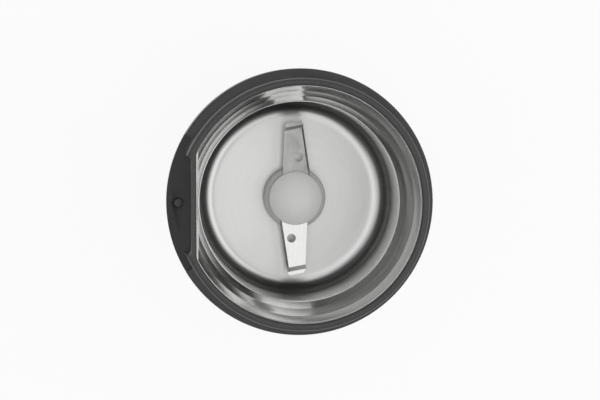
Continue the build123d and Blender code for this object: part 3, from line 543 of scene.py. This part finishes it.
def pitch_arms(mesh):
    """Gives the two blade arms a slight opposite pitch, so that they lift what they cut."""
    slope = math.tan(math.radians(4.0))
    twist_end = 6 * MM
    cuts_each_side = 4
    with Editing(mesh) as work:
        for step in range(-cuts_each_side, cuts_each_side + 1):
            everything = [*work.verts, *work.edges, *work.faces]
            place = (0, twist_end * step / cuts_each_side, 0)
            bmesh.ops.bisect_plane(work, geom=everything, plane_co=place, plane_no=(0, 1, 0))
        for vertex in work.verts:
            share = min(1.0, abs(vertex.co.y) / twist_end)
            eased = share * share * (3 - 2 * share)
            vertex.co.z -= vertex.co.x * slope * eased * math.copysign(1.0, vertex.co.y)


def closed_skin(name, rings):
    """A closed tube of skin from rings of points with equal counts, joined last to first."""
    count = len(rings[0])
    points = [point for ring in rings for point in ring]
    faces = []
    for level in range(len(rings)):
        here, above = level * count, (level + 1) % len(rings) * count
        for step in range(count):
            after = (step + 1) % count
            faces.append((here + step, here + after, above + after, above + step))
    mesh = bpy.data.meshes.new(name)
    mesh.from_pydata(points, [], faces)
    with Editing(mesh) as work:
        bmesh.ops.remove_doubles(work, verts=work.verts, dist=SKIN_MERGE_DISTANCE)
        loose = [edge for edge in work.edges if not edge.link_faces]
        bmesh.ops.delete(work, geom=loose, context="EDGES")
        bmesh.ops.recalc_face_normals(work, faces=work.faces)
    return mesh


def turned_mesh(name, outline, columns):
    """A turned shape from a closed radius and height outline in millimetres."""
    angles = [2 * math.pi * step / columns for step in range(columns)]
    rings = [
        [(radius * math.cos(angle) * MM, radius * math.sin(angle) * MM, height * MM) for angle in angles]
        for radius, height in outline
    ]
    return closed_skin(name, rings)


# ---------------------------------------------------------------- grinding bowl
class Bowl:
    """The pressed bowl's sizes in millimetres."""

    hole_radius = 5.0
    floor = 83.4
    lower_radius = 33.8
    fillet = 6.0
    step = 108.4
    step_width = 0.3
    mouth = 123.8
    mouth_radius = 39.2
    flange_radius = 40.3
    sheet = 0.6
    flat = 35.2  # from the shaft to the mouth's flat side
    lean = 1.0  # how far the flat side leans in towards the step
    corner = 4.5
    bands = 3
    bulge = 0.04


FLOOR_SHARES = (0.25, 0.5, 0.75, 0.97)
FILLET_STEPS = 12
WALL_SHARES = (0.35, 0.7, 0.96)
STEP_EDGE = ((0.03, 0.15), (0.13, 0.02))  # out from the lower wall and down from the step
HEIGHT_SLACK = 0.01
BAND_SHARES = (0.0, 0.04, 0.12, 0.25, 0.4, 0.55, 0.7, 0.84, 0.94)
BULGE_DROP = 0.35  # how much of a band's bulge goes down


def d_reach(angle, radius, flat, corner):
    """Distance from the shaft to a round outline with a rounded-off flat side, at an angle from -X."""
    turn = abs(angle)
    if turn > math.pi / 2 or flat >= radius:
        return radius
    side_squared = (radius - corner) ** 2 - (flat - corner) ** 2
    if side_squared <= 0:
        return min(radius, flat / math.cos(turn))
    side = math.sqrt(side_squared)
    if turn >= math.atan2(side, flat - corner):
        return radius
    if turn <= math.atan2(side, flat):
        return flat / math.cos(turn)
    along = (flat - corner) * math.cos(turn) + side * math.sin(turn)
    return along + math.sqrt(along * along - (flat - corner) ** 2 - side * side + corner * corner)


def bowl_columns():
    """Angles from -X, closer together where the flat side's corners climb the wall."""
    close_up_to, close, wide = 34.0, 0.5, 1.5
    close_count = round(2 * close_up_to / close)
    wide_count = int((360 - 2 * close_up_to) / wide) + 1
    degrees = [step * close - close_up_to for step in range(close_count)]
    degrees += [close_up_to + step * wide for step in range(wide_count)]
    return [math.radians(angle) for angle in degrees]


def wrapped(angle):
    """The same angle between minus and plus half a turn."""
    return (angle + math.pi) % (2 * math.pi) - math.pi


def bowl_ring(radius, height, grow):
    """One level of the bowl's skin. Above the step the flat side cuts it."""
    flat = math.inf
    if height >= Bowl.step - grow - HEIGHT_SLACK:
        flat = Bowl.flat + grow - Bowl.lean * (Bowl.mouth - height) / (Bowl.mouth - Bowl.step)
    points = []
    for angle in bowl_columns():
        reach = d_reach(wrapped(angle), radius, flat, Bowl.corner + grow)
        points.append((-reach * math.cos(angle) * MM, -reach * math.sin(angle) * MM, height * MM))
    return points


def bowl_profile(grow):
    """Radius and height pairs from the shaft's hole up to the mouth, on a skin grown by some millimetres."""
    corner = Bowl.fillet + grow
    reach = Bowl.lower_radius + grow
    bottom, step = Bowl.floor - grow, Bowl.step - grow
    profile = [(Bowl.hole_radius, bottom)]
    for share in FLOOR_SHARES:
        profile.append((Bowl.hole_radius + (reach - corner - Bowl.hole_radius) * share, bottom))
    for turn in range(FILLET_STEPS + 1):
        swing = math.radians(90 * turn / FILLET_STEPS)
        place = (reach - corner + corner * math.sin(swing), bottom + corner - corner * math.cos(swing))
        profile.append(place)
    for share in WALL_SHARES:
        profile.append((reach, bottom + corner + (step - bottom - corner) * share))
    for out, down in STEP_EDGE:
        profile.append((reach + out, step - down))
    rise = (Bowl.mouth - Bowl.step) / Bowl.bands
    run = (Bowl.mouth_radius - Bowl.lower_radius - Bowl.step_width) / Bowl.bands
    for band in range(Bowl.bands):
        low_radius = reach + Bowl.step_width + band * run
        low_height = step + band * rise
        for share in BAND_SHARES:
            bulge = Bowl.bulge * (1 - (2 * share - 1) ** 2)
            height = low_height + rise * share - bulge * BULGE_DROP
            profile.append((low_radius + run * share + bulge, height))
    return profile


def make_bowl():
    """The pressed bowl as one closed sheet: inside, rolled mouth with its flange, and outside."""
    mouth, sheet = Bowl.mouth, Bowl.sheet
    mouth_radius, flange_radius = Bowl.mouth_radius, Bowl.flange_radius
    levels = [(*place, 0.0) for place in bowl_profile(0.0)]
    levels += [
        (mouth_radius - 0.02, mouth - 0.15, 0.0),
        (mouth_radius, mouth - 0.03, 0.0),
        (mouth_radius + 0.04, mouth, 0.04),
        (flange_radius - 0.1, mouth, 0.5),
        (flange_radius, mouth - 0.1, sheet),
        (flange_radius, mouth - sheet, sheet),
    ]
    levels += [(*place, sheet) for place in reversed(bowl_profile(sheet))]
    mesh = closed_skin("bowl", [bowl_ring(*level) for level in levels])
    finish_piece(mesh, "bowl", "grinding_bowl", "casing", sharp_angle=50.0)


# ---------------------------------------------------------------- feet and screws on a ring
def ring_of_parts():
    """A node tree that sets copies of one part round the shaft."""
    tree = bpy.data.node_groups.new("ring_of_parts", "GeometryNodeTree")
    sockets = {
        "Part": "NodeSocketGeometry",
        "Count": "NodeSocketInt",
        "Ring Radius": "NodeSocketFloat",
        "Start Angle": "NodeSocketFloat",
        "Finish": "NodeSocketMaterial",
    }
    for label, kind in sockets.items():
        tree.interface.new_socket(label, in_out="INPUT", socket_type=kind)
    tree.interface.new_socket("Parts", in_out="OUTPUT", socket_type="NodeSocketGeometry")
    given = tree.nodes.new("NodeGroupInput").outputs
    ring = tree.nodes.new("GeometryNodeMeshCircle")
    turned = tree.nodes.new("GeometryNodeTransform")
    copies = tree.nodes.new("GeometryNodeInstanceOnPoints")
    real = tree.nodes.new("GeometryNodeRealizeInstances")
    finish = tree.nodes.new("GeometryNodeSetMaterial")
    link = tree.links.new
    link(given["Count"], ring.inputs["Vertices"])
    link(given["Ring Radius"], ring.inputs["Radius"])
    link(join(tree, 0.0, 0.0, given["Start Angle"]), turned.inputs["Rotation"])
    link(ring.outputs["Mesh"], turned.inputs["Geometry"])
    link(turned.outputs["Geometry"], copies.inputs["Points"])
    link(given["Part"], copies.inputs["Instance"])
    link(copies.outputs["Instances"], real.inputs["Geometry"])
    link(real.outputs["Geometry"], finish.inputs["Geometry"])
    link(given["Finish"], finish.inputs["Material"])
    link(finish.outputs["Geometry"], tree.nodes.new("NodeGroupOutput").inputs["Parts"])
    return tree


RING_TREE = ring_of_parts()


def set_round(part, name, node, count, ring_radius, start_angle):
    """Copies of a part's mesh on a ring, as one piece on the casing."""
    carrier = add_object(name + "_carrier", part)
    ring = carrier.modifiers.new("ring", "NODES")
    ring.node_group = RING_TREE
    values = {
        "Count": count,
        "Ring Radius": ring_radius * MM,
        "Start Angle": math.radians(start_angle),
        "Finish": FINISH[SLOT_OF[node]],
    }
    for item in RING_TREE.interface.items_tree:
        if item.name in values:
            ring[item.identifier] = values[item.name]
    finish_piece(evaluated_copy(carrier), name, node, "casing")


def foot_part():
    """A rubber foot with a rounded rim and a shallow cup in its sole."""
    reach, top, cup, rim, rim_steps, bevel = 4.5, 2.8, 0.35, 0.7, 6, 0.1
    outline = [(0.0, cup), (2.4, cup), (2.7, cup - 0.08), (2.95, 0.06), (3.1, 0.0), (reach - rim, 0.0)]
    for turn in range(1, rim_steps + 1):
        swing = math.radians(90 * turn / rim_steps)
        outline.append((reach - rim + rim * math.sin(swing), rim - rim * math.cos(swing)))
    outline += [(reach, top - bevel), (reach - bevel, top), (0.0, top)]
    return turned_mesh("foot", outline, columns=64)


def cross_cutter(bottom, top):
    """A cross-shaped prism between two heights in millimetres, to cut a screw's recess."""
    half_length, half_width = 1.7 * MM, 0.3 * MM
    arm = ((half_width, -half_width, 0), (half_length, -half_width, 0), (half_length, half_width, 0))
    corners = []
    for turn in range(4):
        swing = Matrix.Rotation(turn * math.pi / 2, 3, "Z")
        corners += [swing @ Vector(corner) for corner in arm]
    points = [(x, y, z) for z in (bottom * MM, top * MM) for x, y, _ in corners]
    count = len(corners)
    sides = []
    for step in range(count):
        after = (step + 1) % count
        sides.append((step, after, after + count, step + count))
    mesh = bpy.data.meshes.new("cross_cutter")
    mesh.from_pydata(points, [], [tuple(reversed(range(count))), tuple(range(count, 2 * count)), *sides])
    return add_object("cross_cutter", mesh)


def screw_part():
    """A pan-head screw, head down, with a cross recess."""
    lowest, highest = (corner[2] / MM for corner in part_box("base_screws"))
    head, head_height, shank, recess, point = 2.85, 1.8, 1.5, 0.9, 0.4
    outline = [
        (0.0, lowest),
        (head * 0.6, lowest),
        (head * 0.85, lowest + 0.18),
        (head * 0.97, lowest + 0.5),
        (head, lowest + 0.9),
        (head, lowest + head_height),
        (shank, lowest + head_height),
        (shank, highest - point),
        (shank - point, highest),
        (0.0, highest),
    ]
    carrier = add_object("screw_carrier", turned_mesh("screw", outline, columns=48))
    cutter = cross_cutter(lowest - 1, lowest + recess)
    cut = carrier.modifiers.new("cross", "BOOLEAN")
    cut.operation = "DIFFERENCE"
    cut.solver = "EXACT"
    cut.object = cutter
    mesh = evaluated_copy(carrier)
    bpy.data.objects.remove(cutter)
    return mesh


# ---------------------------------------------------------------- blade cap and return spring
def make_cap():
    """The shallow dome over the blade nut, with a softly rounded rim."""
    bottom, side, rise, reach, edge, hollow = 91.2, 1.5, 3.0, 9.3, 0.7, 0.4
    rim_swing, rim_steps, dome_steps = 60, 5, 24
    rim_middle = bottom + side - edge * 0.5
    outline = [
        (0.0, bottom + hollow),
        (reach - 0.9, bottom + hollow),
        (reach - 0.7, bottom),
        (reach - 0.1, bottom),
        (reach, bottom + 0.1),
    ]
    for turn in range(rim_steps + 1):
        swing = math.radians(rim_swing * turn / rim_steps)
        outline.append((reach - edge + edge * math.cos(swing), rim_middle + edge * math.sin(swing)))
    rim, rim_height = outline[-1]
    for step in range(1, dome_steps):
        share = 1 - step / dome_steps
        outline.append((rim * share, rim_height + rise * (1 - share * share)))
    outline.append((0.0, rim_height + rise))
    mesh = turned_mesh("domed_cap", outline, columns=128)
    finish_piece(mesh, "domed_cap", "hub_cap", "rotor", sharp_angle=40.0)


def make_return_spring():
    """The plunger's spring, which stands on the casing, with a mesh of its own."""
    spring = eased_copy("plunger_spring", "return_spring", "casing")
    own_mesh(spring)


make_bowl()
eased_copy("top_ring", "collar_and_ledge", "casing", ease=0.12)
eased_copy("outer_shell", "housing", "casing")
eased_copy("base_plate", "underside", "casing", ease=0.15)
set_round(foot_part(), "feet", "rubber_feet", count=4, ring_radius=29.0, start_angle=45.0)
set_round(screw_part(), "underside_screws", "base_screws", count=3, ring_radius=33.2, start_angle=60.0)
eased_copy("cord_gland", "gland", "casing", ease=0.2)
eased_copy("blade", "grinding_blade", "rotor", ease=0.08, shaping=pitch_arms, shade_angle=9.0)
eased_copy("blade_seat", "blade_hub", "rotor", ease=0.1)
make_cap()
eased_copy("start_plunger", "plunger", "plunger", ease=0.1)
make_return_spring()

for node_name, node_object in NODES.items():
    if not node_object.hide_render:
        node_object.data.materials.clear()
        node_object.data.materials.append(FINISH[SLOT_OF[node_name]])
